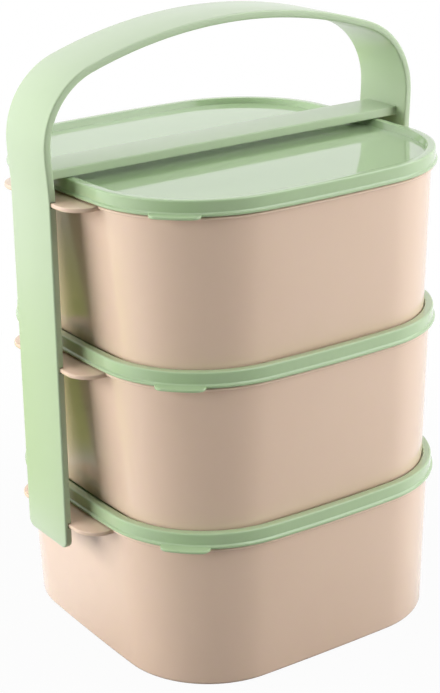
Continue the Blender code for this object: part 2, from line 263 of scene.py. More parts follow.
class Workpiece:
    """A mesh that is shaped in edit mode, one operator after another."""

    SIDE_STEPS = 10
    CORNER_STEPS = 24
    EASE_STEPS = 3  # round the small eased edges
    DOT = 0.01 * MM  # size of the plane that becomes one vertex

    def __init__(self, name: str) -> None:
        """Adds an empty mesh object and enters its edit mode.

        Args:
            name: The object's name.
        """
        deselect_all()
        bpy.ops.mesh.primitive_plane_add(size=self.DOT, location=(0, 0, 0))
        self.item = bpy.context.object
        self.item.name = name
        bpy.ops.object.mode_set(mode="EDIT")
        bpy.ops.mesh.select_all(action="SELECT")
        bpy.ops.mesh.delete(type="VERT")

    @property
    def mesh(self) -> bmesh.types.BMesh:
        """The edit mesh."""
        return bmesh.from_edit_mesh(self.item.data)

    @property
    def chosen_face(self) -> bmesh.types.BMFace:
        """The first selected face."""
        return next(face for face in self.mesh.faces if face.select)

    def dot(self, place: Vector) -> None:
        """Adds one vertex and leaves only that selected.

        Args:
            place: Where it goes.
        """
        bpy.ops.mesh.select_mode(type="VERT")
        bpy.ops.mesh.select_all(action="DESELECT")
        bpy.ops.mesh.primitive_plane_add(size=self.DOT, location=place)
        bpy.ops.mesh.merge(type="CENTER")

    def spin(self, centre: Vector, angle: float, steps: int, axis: Vector = UPWARDS) -> None:
        """Spins what is selected, anticlockwise round an axis, and leaves the far end selected."""
        bpy.ops.mesh.spin(steps=steps, dupli=False, angle=-angle, center=centre, axis=axis)

    def extrude(self, move: Vector) -> None:
        """Extrudes what is selected by a move and leaves the far end selected."""
        bpy.ops.mesh.extrude_region_move(TRANSFORM_OT_translate={"value": move})

    def block(self, middle: Vector, size: Vector) -> None:
        """Adds a block round its middle, its faces square to the axes."""
        bpy.ops.mesh.primitive_cube_add(size=1.0, location=middle)
        bpy.ops.transform.resize(value=size, center_override=middle)

    def fill_loop(self) -> None:
        """Closes a drawn line into a loop and fills it with one face."""
        bpy.ops.mesh.select_linked()
        bpy.ops.mesh.remove_doubles(threshold=self.DOT)
        bpy.ops.mesh.edge_face_add()

    def draw(self, outline: Outline, z: float, facing: Facing) -> None:
        """Draws an outline from arcs at height z and fills it with one face.

        Args:
            outline: The outline to draw.
            z: Its height.
            facing: Which way the face looks.
        """
        side_centre = Vector((-outline.shift, 0, z))
        corner_centre = Vector((outline.corner_centre, outline.corner_centre, z))
        start = side_centre + Matrix.Rotation(-outline.turn, 3, "Z") @ Vector((outline.bow, 0, 0))
        self.dot(start)
        for quarter in range(4):
            turned = Matrix.Rotation(math.pi / 2 * quarter, 3, "Z")
            self.spin(turned @ side_centre, 2 * outline.turn, self.SIDE_STEPS)
            left = math.pi / 2 - 2 * outline.turn
            self.spin(turned @ corner_centre, left, self.CORNER_STEPS)
        self.fill_loop()
        if self.chosen_face.normal.z * facing.value < 0:
            bpy.ops.mesh.flip_normals()

    def step(self, inward: float, rise: float) -> None:
        """Takes the selected level face one step along a section, with new walls behind it.

        Args:
            inward: How far its edge moves inwards, or outwards where negative.
            rise: How far it moves up, or down where negative.
        """
        face = self.chosen_face
        outwards = 1 if face.normal.z > 0 else -1
        if inward > 0:
            bpy.ops.mesh.inset(thickness=inward, depth=rise * outwards, use_even_offset=True)
            return
        across = max(vertex.co.x for vertex in face.verts) - min(vertex.co.x for vertex in face.verts)
        self.extrude(Vector((0, 0, rise)))
        if inward < 0:
            grow = 1 - 2 * inward / across
            bpy.ops.transform.resize(value=(grow, grow, 1), center_override=(0, 0, 0))

    def round_over(
        self, inward: float, rise: float, steps: int = EASE_STEPS, upright_first: bool = True
    ) -> None:
        """Takes the selected level face round a quarter of an ellipse.

        Args:
            inward: How far its edge moves inwards in all.
            rise: How far it moves up in all, or down where negative.
            steps: How many steps it takes.
            upright_first: Whether the curve starts upright and ends level.
        """
        turns = [math.pi / 2 * share for share in shares(steps)]
        for before, after in zip(turns, turns[1:]):
            falling = math.cos(before) - math.cos(after)
            rising = math.sin(after) - math.sin(before)
            if upright_first:
                self.step(inward * falling, rise * rising)
            else:
                self.step(inward * rising, rise * falling)

    def open_end(self) -> None:
        """Deletes the selected face and leaves its edge open."""
        bpy.ops.mesh.delete(type="ONLY_FACE")

    def bridge_open_ends(self) -> None:
        """Joins the two open edges of the mesh with a wall."""
        self.select(Element.EDGE, lambda edge: len(edge.link_faces) < 2)
        bpy.ops.mesh.bridge_edge_loops()

    def select(self, kind: Element, test: Callable[[Any], bool]) -> None:
        """Selects the vertices, edges or faces that pass a test and nothing else.

        Args:
            kind: Which of these the test is for.
            test: Says of each whether it is wanted.
        """
        bpy.ops.mesh.select_mode(type=kind.value)
        bpy.ops.mesh.select_all(action="DESELECT")
        mesh = self.mesh
        elements = {Element.VERTEX: mesh.verts, Element.EDGE: mesh.edges, Element.FACE: mesh.faces}
        for element in elements[kind]:
            element.select_set(test(element))
        bmesh.update_edit_mesh(self.item.data)

    def bevel(self, radius: float, segments: int = EASE_STEPS) -> None:
        """Rounds the selected edges over with a radius, in a number of facets."""
        bpy.ops.mesh.bevel(
            offset=radius, segments=segments, profile=0.5, affect="EDGES", clamp_overlap=True
        )

    def finish(self) -> bpy.types.Object:
        """Merges doubles, turns the faces outwards and leaves edit mode.

        Returns:
            The finished object.
        """
        bpy.ops.mesh.select_mode(type="VERT")
        bpy.ops.mesh.select_all(action="SELECT")
        bpy.ops.mesh.remove_doubles(threshold=self.DOT / 2)
        bpy.ops.mesh.normals_make_consistent(inside=False)
        deselect_all()
        return self.item


SHARP = math.radians(40)  # least angle between two faces at a sharp edge
LEVEL = 0.9  # least upright part of a level face's normal
PLATE_AREA = 0.01  # least area of a face that spans a whole moulding


def rim_edge(edge: bmesh.types.BMEdge) -> bool:
    """Whether an edge is level and sharp, as round the top and bottom of a flat plate."""
    level = abs(edge.verts[0].co.z - edge.verts[1].co.z) < TINY
    return level and len(edge.link_faces) == 2 and edge.calc_face_angle() > SHARP


def at_height(z: float) -> Callable[[bmesh.types.BMEdge], bool]:
    """A test for the edges at a height."""
    return lambda edge: all(abs(vertex.co.z - z) < TINY for vertex in edge.verts)


def plate(facing: Facing) -> Callable[[bmesh.types.BMFace], bool]:
    """A test for the level faces that span a whole moulding and look one way."""
    return lambda face: face.normal.z * facing.value > LEVEL and face.calc_area() > PLATE_AREA


# Materials

Value = Union[float, tuple[float, ...], "Wire"]
Colour = tuple[float, float, float, float]
WHITE: Colour = (1, 1, 1, 1)


class Wire:
    """One output of a shader node, with arithmetic on numbers that adds its Math nodes."""

    def __init__(self, tree: "ShaderTree", socket: bpy.types.NodeSocket) -> None:
        """Wraps a socket of a tree."""
        self.tree = tree
        self.socket = socket

    def _with(self, operation: str, first: Value, second: Value) -> "Wire":
        """The result of a Math node on two values."""
        return self.tree.node("ShaderNodeMath", {"operation": operation}, {0: first, 1: second})

    def __add__(self, other: Value) -> "Wire":
        """Self plus other."""
        return self._with("ADD", self, other)

    __radd__ = __add__

    def __mul__(self, other: Value) -> "Wire":
        """Self times other."""
        return self._with("MULTIPLY", self, other)

    __rmul__ = __mul__

    def __sub__(self, other: Value) -> "Wire":
        """Self less other."""
        return self._with("SUBTRACT", self, other)

    def __rsub__(self, other: Value) -> "Wire":
        """Other less self."""
        return self._with("SUBTRACT", other, self)

    def smooth(self, low: float, high: float) -> "Wire":
        """Runs smoothly from 0 to 1.

        Args:
            low: Where it is 0.
            high: Where it is 1, above low or below.

        Returns:
            The wire of that run.
        """
        settings = {"interpolation_type": "SMOOTHSTEP"}
        values = {"Value": self, "From Min": low, "From Max": high}
        return self.tree.node("ShaderNodeMapRange", settings, values)


@dataclass(frozen=True)
class Pattern:
    """A noise in an object's own space.

    Attributes:
        scale: Ripples in a metre.
        detail: How much finer noise it holds.
        limits: Where the noise counts as 0 and as 1, with a smooth run between, or none.
        stretch: How much finer the pattern is along each axis.
    """

    scale: float
    detail: float
    limits: tuple[float, ...] = ()
    stretch: tuple[float, float, float] = (1, 1, 1)


class ShaderTree:
    """A material's nodes, made by one method."""

    MIX_FIRST, MIX_SECOND, MIX_RESULT = 6, 7, 2  # the numbers of a Mix node's colour sockets

    def __init__(self, owner: Union[bpy.types.Material, bpy.types.World]) -> None:
        """Turns on the nodes of a material or a world.

        Args:
            owner: The material or world that they belong to.
        """
        owner.use_nodes = True
        self.nodes = owner.node_tree.nodes
        self.links = owner.node_tree.links
        self.shader = self.nodes.get("Principled BSDF")

    def output(self, kind: str, name: str) -> Wire:
        """One output of a new node that needs no inputs."""
        return self.node(kind, {}, {}, name)

    @property
    def place(self) -> Wire:
        """Where a point lies in the object's own space."""
        return self.output("ShaderNodeTexCoord", "Object")

    def feed(self, socket: bpy.types.NodeSocket, value: Value) -> None:
        """Sets a socket to a plain value, or links it to a wire.

        Args:
            socket: The input to feed.
            value: What goes into it.
        """
        if isinstance(value, Wire):
            self.links.new(value.socket, socket)
        else:
            socket.default_value = value

    def node(
        self,
        kind: str,
        settings: dict[str, Any],
        values: dict[Union[str, int], Value],
        output: Union[str, int] = 0,
    ) -> Wire:
        """Adds a node.

        Args:
            kind: The node's type.
            settings: Its own settings, which are set first.
            values: The values or links of its inputs, by name or number.
            output: Which output to return, by name or number.

        Returns:
            The wire from that output.
        """
        made = self.nodes.new(kind)
        for name, value in settings.items():
            setattr(made, name, value)
        for name, value in values.items():
            self.feed(made.inputs[name], value)
        return Wire(self, made.outputs[output])

    def dot(self, first: Value, second: Value) -> Wire:
        """The dot product of two vectors."""
        values = {0: first, 1: second}
        return self.node("ShaderNodeVectorMath", {"operation": "DOT_PRODUCT"}, values, "Value")

    def noise(self, pattern: Pattern) -> Wire:
        """Noise in the object's own space.

        Args:
            pattern: Its scale, detail, limits and stretch.

        Returns:
            The noise, from 0 to 1.
        """
        place = self.node("ShaderNodeMapping", {}, {"Vector": self.place, "Scale": pattern.stretch})
        values = {"Vector": place, "Scale": pattern.scale, "Detail": pattern.detail}
        plain = self.node("ShaderNodeTexNoise", {}, values)
        return plain.smooth(*pattern.limits) if pattern.limits else plain

    def mix(self, share: Value, first: Value, second: Value) -> Wire:
        """A colour between two colours, by the share of the second."""
        values = {"Factor": share, self.MIX_FIRST: first, self.MIX_SECOND: second}
        return self.node("ShaderNodeMix", {"data_type": "RGBA"}, values, self.MIX_RESULT)


@dataclass(frozen=True)
class MouldedPlastic:
    """A glossy moulded plastic with a little life in its colour, gloss and surface.

    Attributes:
        name: The material's name.
        colour: Where the pigment is even.
        streak_colour: Where the melt flowed and the pigment is richer.
        roughness: Of the polished skin.
        roughness_spread: How much duller it gets in patches.
        coat: Weight of the clear gloss on top.
        grain_depth: Height of the fine grain.
    """

    FLOW = Pattern(scale=18, detail=3, limits=(0.35, 0.75), stretch=(1, 1, 0.35))
    CLOUD = Pattern(scale=55, detail=2, limits=(0.3, 0.8))
    RUBBED = Pattern(scale=140, detail=4, limits=(0.45, 0.75))
    HAZY = Pattern(scale=9, detail=2, limits=(0.3, 0.7))
    RIPPLE = Pattern(scale=30, detail=1)
    GRAIN = Pattern(scale=2600, detail=2)
    FLOW_SHARE = 0.6
    CLOUD_SHARE = 0.2
    RIPPLE_DEPTH = 0.02 * MM  # height of the slow ripple left by the mould
    COAT_ROUGHNESS = 0.03
    SUBSURFACE = 0.1  # how much light passes through the skin
    LIGHT_REACH = (3 * MM, 4 * MM, 2 * MM)  # how far red, green and blue light go under the skin

    name: str
    colour: Colour
    streak_colour: Colour
    roughness: float
    roughness_spread: float
    coat: float
    grain_depth: float = 0.001 * MM

    def pigment(self, tree: ShaderTree) -> Wire:
        """The colour, richer along the flow of the melt."""
        share = tree.noise(self.FLOW) * self.FLOW_SHARE + tree.noise(self.CLOUD) * self.CLOUD_SHARE
        return tree.mix(share, self.colour, self.streak_colour)

    def polish(self, tree: ShaderTree) -> Wire:
        """The roughness, higher where the skin is rubbed or hazy."""
        patches = tree.noise(self.RUBBED) + tree.noise(self.HAZY)
        return patches * (self.roughness_spread / 2) + self.roughness

    def relief(self, tree: ShaderTree) -> Wire:
        """The bump of the mould's slow ripple and of the fine grain."""
        height = tree.noise(self.RIPPLE) * self.RIPPLE_DEPTH + tree.noise(self.GRAIN) * self.grain_depth
        return tree.node("ShaderNodeBump", {}, {"Strength": 1.0, "Distance": 1.0, "Height": height})

    def make(self) -> bpy.types.Material:
        """Builds the material.

        Returns:
            The finished material.
        """
        material = bpy.data.materials.new(self.name)
        tree = ShaderTree(material)
        values = {
            "Base Color": self.pigment(tree),
            "Roughness": self.polish(tree),
            "Normal": self.relief(tree),
            "Coat Weight": self.coat,
            "Coat Roughness": self.COAT_ROUGHNESS,
            "Subsurface Weight": self.SUBSURFACE,
            "Subsurface Radius": self.LIGHT_REACH,
            "Subsurface Scale": 1.0,
        }
        for name, value in values.items():
            tree.feed(tree.shader.inputs[name], value)
        return material


SMOOTH_BELOW = math.radians(32)  # faces that meet at less than this are shaded as one surface


def dress(
    item: bpy.types.Object, material: bpy.types.Material, body: Body, node: str
) -> None:
    """Shades a finished piece, gives it its material and lets it stand for its CAD node.

    Args:
        item: The piece.
        material: What it is made of.
        body: The body that it moves with.
        node: The CAD node that it replaces.
    """
    pick(item)
    bpy.ops.object.shade_smooth_by_angle(angle=SMOOTH_BELOW)
    item.data.materials.append(material)
    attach(item, body.value)
    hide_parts(node)
    triangles = sum(len(face.vertices) - 2 for face in item.data.polygons)
    log.info("%s stands for %s, %d triangles", item.name, node, triangles)


# The mouldings


@dataclass
class Lid:
    """A press-on lid, its heights measured from its lower edge and its insets from its outer edge.

    Attributes:
        outline: Its outer edge, seen from above.
        recess: The outline of the panel, where the next tub stands.
    """

    SHOULDER_STEPS = 8
    TAB_END_STEPS = 12
    TAB_EDGE_STEPS = 16
    TAB_DIRECTION = math.radians(225)  # to the front left corner

    outline: Outline
    recess: Outline
    height: float = 6.7 * MM
    flange_height: float = 1.2 * MM
    flange_slope: float = 0.5 * MM
    band_inset: float = 0.8 * MM
    band_wall: float = 0.85 * MM
    shoulder_radius: float = 0.8 * MM
    crest_width: float = 2.7 * MM
    panel_height: float = 4.0 * MM
    panel_thickness: float = 1.5 * MM
    roof_thickness: float = 1.6 * MM
    plug_inset: float = 3.9 * MM
    plug_wall: float = 1.0 * MM
    plug_depth: float = 1.7 * MM
    catch_reach: float = 0.45 * MM
    edge_round: float = 0.3 * MM
    tab_width: float = 23.2 * MM
    tab_reach: float = 4.5 * MM
    tab_thickness: float = 1.2 * MM
    tab_end_radius: float = 4.0 * MM

    def shell(self) -> bpy.types.Object:
        """Models the lid without its tab.

        Returns:
            The shell, standing on z = 0.
        """
        work = Workpiece("lid_shell")
        ease = self.edge_round
        work.draw(self.outline, ease, Facing.UP)
        work.step(0, self.flange_height - 2 * ease)
        work.round_over(ease, ease)
        work.step(self.band_inset - ease, self.flange_slope)
        band_top = self.height - self.shoulder_radius
        work.step(0, band_top - self.flange_height - self.flange_slope)
        work.round_over(self.shoulder_radius, self.shoulder_radius, self.SHOULDER_STEPS)
        work.step(self.crest_width - ease, 0)
        work.round_over(2 * ease, -ease, upright_first=False)
        work.open_end()
        work.draw(self.recess, self.panel_height, Facing.UP)
        work.bridge_open_ends()
        work.select(Element.FACE, plate(Facing.UP))
        work.step(ease, 0)
        work.select(Element.FACE, plate(Facing.DOWN))
        work.round_over(ease, -ease)
        band_inner = self.band_inset + self.band_wall
        work.step(band_inner - self.catch_reach / 2 - ease, 0)
        work.step(self.catch_reach * 1.5, self.flange_height / 2)
        work.step(-self.catch_reach, self.flange_height / 2)
        roof = self.height - self.roof_thickness
        work.step(0, roof - self.flange_height)
        work.step(self.plug_inset - band_inner, 0)
        plug_end = self.panel_height - self.panel_thickness - self.plug_depth
        work.step(0, plug_end + ease - roof)
        work.step(ease, -ease)
        work.step(self.plug_wall - ease, 0)
        work.step(0, self.plug_depth)
        return work.finish()

    def tab(self) -> bpy.types.Object:
        """Models the pull tab along the front left corner, its root inside the flange.

        Returns:
            The tab, standing on z = 0.
        """
        work = Workpiece("lid_tab")
        middle = Vector((-self.outline.corner_centre, -self.outline.corner_centre, 0))
        outer = self.outline.corner + self.tab_reach
        bend = outer - self.tab_end_radius
        half_turn = self.tab_width / 2 / outer
        end_turn = math.asin(self.tab_end_radius / bend)

        def spot(radius: float, turn: float) -> Vector:
            """A point at a radius from the corner's centre, turned from the tab's direction."""
            return middle + Matrix.Rotation(self.TAB_DIRECTION + turn, 3, "Z") @ Vector((radius, 0, 0))

        inner = self.outline.corner - 1.5 * self.edge_round
        straight = bend * math.cos(end_turn)
        work.dot(spot(inner, -half_turn))
        work.extrude(spot(straight, -half_turn) - spot(inner, -half_turn))
        quarter = math.pi / 2 + end_turn
        work.spin(spot(bend, end_turn - half_turn), quarter, self.TAB_END_STEPS)
        work.spin(middle, 2 * (half_turn - end_turn), self.TAB_EDGE_STEPS)
        work.spin(spot(bend, half_turn - end_turn), quarter, self.TAB_END_STEPS)
        work.extrude(spot(inner, half_turn) - spot(straight, half_turn))
        work.fill_loop()
        work.extrude(Vector((0, 0, self.tab_thickness)))
        work.select(Element.EDGE, rim_edge)
        work.bevel(self.edge_round)
        return work.finish()

    def build(self) -> bpy.types.Object:
        """Models a whole lid.

        Returns:
            The lid, its lower edge on z = 0.
        """
        lid = self.shell()
        combine(lid, self.tab(), Use.ADD)
        return lid


@dataclass
class Tub:
    """A tub with a collar, a lip and two ears, its heights measured from its own base.

    Attributes:
        edge: The outline that insets at the rim are measured from.
        base: The outline of the base.
        ear_tip: How far the ears reach from the middle.
    """

    LIP_STEPS = 4
    FILLET_STEPS = 9
    BASE_STEPS = 6
    EAR_STEPS = 14
    WALL_START = 3.0 * MM  # first stretch of the wall's outside, under the collar
    EAR_ROOT = 0.6  # share of the wall that the ears' roots reach through

    edge: Outline
    base: Outline
    ear_tip: float
    collar_top: float = 67.9 * MM
    collar_thickness: float = 1.2 * MM
    collar_inset: float = 1.2 * MM
    collar_round: float = 0.4 * MM
    wall_inset: float = 2.5 * MM
    wall: float = 1.8 * MM
    floor: float = 2.0 * MM
    base_radius: float = 1.8 * MM
    floor_fillet: float = 4.5 * MM
    lip_top: float = 73.4 * MM
    lip_inset: float = 2.4 * MM
    lip_wall: float = 1.2 * MM
    lip_round: float = 0.35 * MM
    bead_level: float = 70.7 * MM
    bead_height: float = 1.2 * MM
    bead_reach: float = 0.45 * MM
    ear_length: float = 66.0 * MM
    ear_thickness: float = 2.0 * MM
    ear_end_radius: float = 11.6 * MM
    ear_edge_round: float = 0.5 * MM

    @property
    def lean(self) -> float:
        """How much the walls lean outwards for each unit of height."""
        base_inset = (self.edge.width - self.base.width) / 2
        return (base_inset - self.wall_inset) / self.collar_top

    def shell(self) -> bpy.types.Object:
        """Models the tub without its ears.

        Returns:
            The shell, standing on z = 0.
        """
        work = Workpiece("tub_shell")
        ease = self.collar_round
        underside = self.collar_top - self.collar_thickness
        work.draw(self.edge.inset(self.collar_inset), underside + ease, Facing.UP)
        work.step(0, self.collar_thickness - 2 * ease)
        work.round_over(ease, ease)
        work.step(self.lip_inset - self.collar_inset - ease, 0)
        bead_low = self.bead_level - self.bead_height / 2
        work.step(0, bead_low - self.collar_top)
        work.step(-self.bead_reach, self.bead_height / 2)
        work.step(self.bead_reach, self.bead_height / 2)
        bead_high = self.bead_level + self.bead_height / 2
        work.step(0, self.lip_top - self.lip_round - bead_high)
        work.round_over(self.lip_round, self.lip_round, self.LIP_STEPS)
        work.step(self.lip_wall - 2 * self.lip_round, 0)
        work.round_over(self.lip_round, -self.lip_round, self.LIP_STEPS, upright_first=False)
        work.step(0, self.collar_top - self.lip_top + self.lip_round)
        ledge = self.collar_thickness / 2
        inner_top = self.wall_inset + self.wall + self.lean * ledge
        work.step(inner_top - self.lip_inset - self.lip_wall, -ledge)
        work.open_end()
        work.draw(self.base.inset(self.wall - self.lean * self.floor), self.floor, Facing.UP)
        work.bridge_open_ends()
        work.select(Element.EDGE, at_height(self.floor))
        work.bevel(self.floor_fillet, self.FILLET_STEPS)
        work.select(Element.FACE, plate(Facing.DOWN))
        work.round_over(ease, -ease)
        work.step(self.wall_inset + self.lean * self.collar_thickness - self.collar_inset - ease, 0)
        work.step(self.lean * self.WALL_START, -self.WALL_START)
        work.open_end()
        work.draw(self.base, 0, Facing.DOWN)
        work.bridge_open_ends()
        work.select(Element.EDGE, at_height(0))
        work.bevel(self.base_radius, self.BASE_STEPS)
        return work.finish()

    def ear(self, side: int) -> bpy.types.Object:
        """Models one ear, a flat plate with round outer corners.

        Args:
            side: 1 for the right ear, -1 for the left.

        Returns:
            The ear beside the tub.
        """
        root = self.edge.width / 2 - self.wall_inset - self.wall * self.EAR_ROOT
        work = Workpiece("tub_ear")
        size = Vector((self.ear_tip - root, self.ear_length, self.ear_thickness))
        middle = Vector((side * (self.ear_tip + root) / 2, 0, self.collar_top - self.ear_thickness / 2))
        work.block(middle, size)

        def outer_corner(edge: bmesh.types.BMEdge) -> bool:
            """Whether an edge is one of the two upright outer corners."""
            upright = abs(edge.verts[0].co.z - edge.verts[1].co.z) > self.ear_thickness / 2
            return upright and side * edge.verts[0].co.x > self.ear_tip - TINY

        work.select(Element.EDGE, outer_corner)
        work.bevel(self.ear_end_radius, self.EAR_STEPS)
        work.select(Element.EDGE, rim_edge)
        work.bevel(self.ear_edge_round)
        return work.finish()

    def build(self) -> bpy.types.Object:
        """Models a whole tub.

        Returns:
            The tub, its base on z = 0.
        """
        tub = self.shell()
        for side in (-1, 1):
            combine(tub, self.ear(side), Use.ADD)
        return tub


@dataclass
class Handle:
    """The carrying handle: two arms and an arch in one bent strap, a crossbar, and slots for the ears.

    Attributes:
        half_span: From the middle to the arms' outer faces, at the top slots.
        arm_end: Height of the arms' lower ends.
        top_slot: Height of the top ears' upper faces.
        bar_bottom: Height of the crossbar's underside.
        crown: Height of the arch's outer face in the middle.
        pitch: From one tier to the next.
    """

    SWELL_STEPS = 10
    CORNER_STEPS = 40
    ARCH_STEPS = 30
    END_STEPS = 10
    EDGE_STEPS = 4
    BAR_STEPS = 6
    ROUNDED_ANGLE = math.radians(45)  # edges sharper than this are rounded over

    half_span: float
    arm_end: float
    top_slot: float
    bar_bottom: float
    crown: float
    pitch: float
    width: float = 33.4 * MM
    thickness: float = 3.4 * MM
    edge_radius: float = 0.8 * MM
    splay: float = 1.1 * MM  # how much wider the arms stand at their lower ends
    swell: float = 1.0 * MM  # how much wider the handle is above the crossbar
    end_radius: float = 4.0 * MM
    arch_radius: float = 224.0 * MM
    corner_radius: float = 35.7 * MM
    bar_width: float = 21.0 * MM
    bar_thickness: float = 4.2 * MM
    bar_edge_radius: float = 0.6 * MM
    ear_thickness: float = 2.0 * MM
    slot_gap: float = FIT_GAP
    slot_web: float = 0.6 * MM  # plastic left outside the top slots

    def draw_half(self, work: Workpiece) -> None:
        """Draws the outer face of the right arm and half the arch as a line, at the front.

        Args:
            work: The workpiece to draw on.
        """
        frontwards = Vector((0, -1, 0))
        corner_x = self.half_span + self.swell - self.corner_radius
        top_centre = Vector((0, 0, self.crown - self.arch_radius))
        gap = self.arch_radius - self.corner_radius
        corner = Vector((corner_x, 0, top_centre.z + math.sqrt(gap**2 - corner_x**2)))
        edge = frontwards * (self.width / 2)
        work.dot(Vector((self.half_span + self.splay, 0, self.arm_end)) + edge)
        arm = Vector((-self.splay, 0, self.top_slot - self.arm_end))
        end_piece = 2 * self.end_radius / arm.z
        work.extrude(arm * end_piece)
        work.extrude(arm * (1 - end_piece))
        rise = corner.z - self.top_slot
        spreads = [self.swell * share * share * (3 - 2 * share) for share in shares(self.SWELL_STEPS)]
        for before, after in zip(spreads, spreads[1:]):
            work.extrude(Vector((after - before, 0, rise / self.SWELL_STEPS)))
        end_turn = math.atan2(corner.z - top_centre.z, corner.x)
        work.spin(corner + edge, end_turn, self.CORNER_STEPS, frontwards)
        work.spin(top_centre + edge, math.pi / 2 - end_turn, self.ARCH_STEPS, frontwards)

    def strap(self) -> bpy.types.Object:
        """Models the arms and the arch.

        Returns:
            The strap.
        """
        work = Workpiece("handle_strap")
        self.draw_half(work)
        bpy.ops.mesh.select_all(action="SELECT")
        work.extrude(Vector((0, self.width, 0)))
        work.select(Element.VERTEX, lambda vertex: abs(vertex.co.z - self.arm_end) < TINY)
        bpy.ops.mesh.bevel(
            offset=self.end_radius, segments=self.END_STEPS, affect="VERTICES", profile=0.5
        )
        strap = work.finish()
        outer = max(strap.data.polygons, key=lambda face: face.area)
        inwards = -1.0 if outer.normal.x > 0 else 1.0
        walls = {"thickness": self.thickness, "offset": inwards, "use_even_offset": True}
        apply_modifier(strap, "SOLIDIFY", walls)
        apply_modifier(strap, "MIRROR", {"use_axis": (True, False, False), "merge_threshold": 5 * TINY})
        pick(strap)
        bpy.ops.object.mode_set(mode="EDIT")
        work.select(Element.FACE, lambda face: all(abs(vertex.co.x) < TINY for vertex in face.verts))
        bpy.ops.mesh.delete(type="FACE")
        work.finish()
        rounding = {"width": self.edge_radius, "segments": self.EDGE_STEPS, "limit_method": "ANGLE"}
        apply_modifier(strap, "BEVEL", {**rounding, "angle_limit": self.ROUNDED_ANGLE})
        return strap

    def crossbar(self) -> bpy.types.Object:
        """Models the flat bar between the arms.

        Returns:
            The bar, its ends inside the arms.
        """
        reach = self.half_span - self.thickness / 2
        size = Vector((2 * reach, self.bar_width, self.bar_thickness))
        middle = Vector((0, 0, self.bar_bottom + self.bar_thickness / 2))
        work = Workpiece("handle_crossbar")
        work.block(middle, size)
        work.select(Element.EDGE, lambda edge: abs(edge.verts[0].co.x - edge.verts[1].co.x) > reach)
        work.bevel(self.bar_edge_radius, self.BAR_STEPS)
        return work.finish()

    def slot_space(self, side: int, tier: int) -> bpy.types.Object:
        """Models the space of one slot, past the arm's front, back and inside.

        Args:
            side: 1 for the right arm, -1 for the left.
            tier: 0 for the bottom tub.

        Returns:
            A block that fills the slot.
        """
        top = self.top_slot - (len(TIERS) - 1 - tier) * self.pitch + self.slot_gap
        bottom = top - self.ear_thickness - 2 * self.slot_gap
        inner = self.half_span - 2 * self.thickness
        outer = self.half_span - self.slot_web
        work = Workpiece("slot_space")
        middle = Vector((side * (inner + outer) / 2, 0, (top + bottom) / 2))
        work.block(middle, Vector((outer - inner, 2 * self.width, top - bottom)))
        return work.finish()

    def build(self) -> bpy.types.Object:
        """Models the whole handle.

        Returns:
            The handle in its place.
        """
        handle = self.strap()
        combine(handle, self.crossbar(), Use.ADD)
        for tier in range(len(TIERS)):
            for side in (-1, 1):
                combine(handle, self.slot_space(side, tier), Use.CUT)
        return handle


# Studio


def level_direction(azimuth: float) -> Vector:
    """The level direction out from the object at an azimuth, in degrees, 0 in front, 90 to the right."""
    turn = math.radians(azimuth)
    return Vector((math.sin(turn), -math.cos(turn), 0))


def raised_direction(azimuth: float, elevation: float) -> Vector:
    """The direction out from the object at an azimuth and an elevation, in degrees."""
    tilt = math.radians(elevation)
    return level_direction(azimuth) * math.cos(tilt) + Vector((0, 0, math.sin(tilt)))


@dataclass
class SoftBox:
    """A large soft lamp.

    Attributes:
        name: The lamp's name.
        azimuth: Its direction from the object, in degrees.
        elevation: Its direction above the level, in degrees.
        size: Width and height of its face.
        power: In watts.
        distance: From the object's middle.
        mirrored: Whether it shows in glossy surfaces.
    """

    name: str
    azimuth: float
    elevation: float
    size: tuple[float, float]
    power: float
    distance: float = 1.3
    mirrored: bool = False

    def place(self, target: Vector) -> None:
        """Adds the lamp.

        Args:
            target: What it is aimed at, and its distance is measured from.
        """
        spot = target + raised_direction(self.azimuth, self.elevation) * self.distance
        lamp = bpy.data.lights.new(self.name, "AREA")
        lamp.shape = "RECTANGLE"
        lamp.size, lamp.size_y = self.size
        lamp.energy = self.power
        item = bpy.data.objects.new(self.name, lamp)
        bpy.context.scene.collection.objects.link(item)
        item.location = spot
        item.rotation_euler = (target - spot).to_track_quat("-Z", "Y").to_euler()
        item.visible_camera = False
        item.visible_glossy = self.mirrored


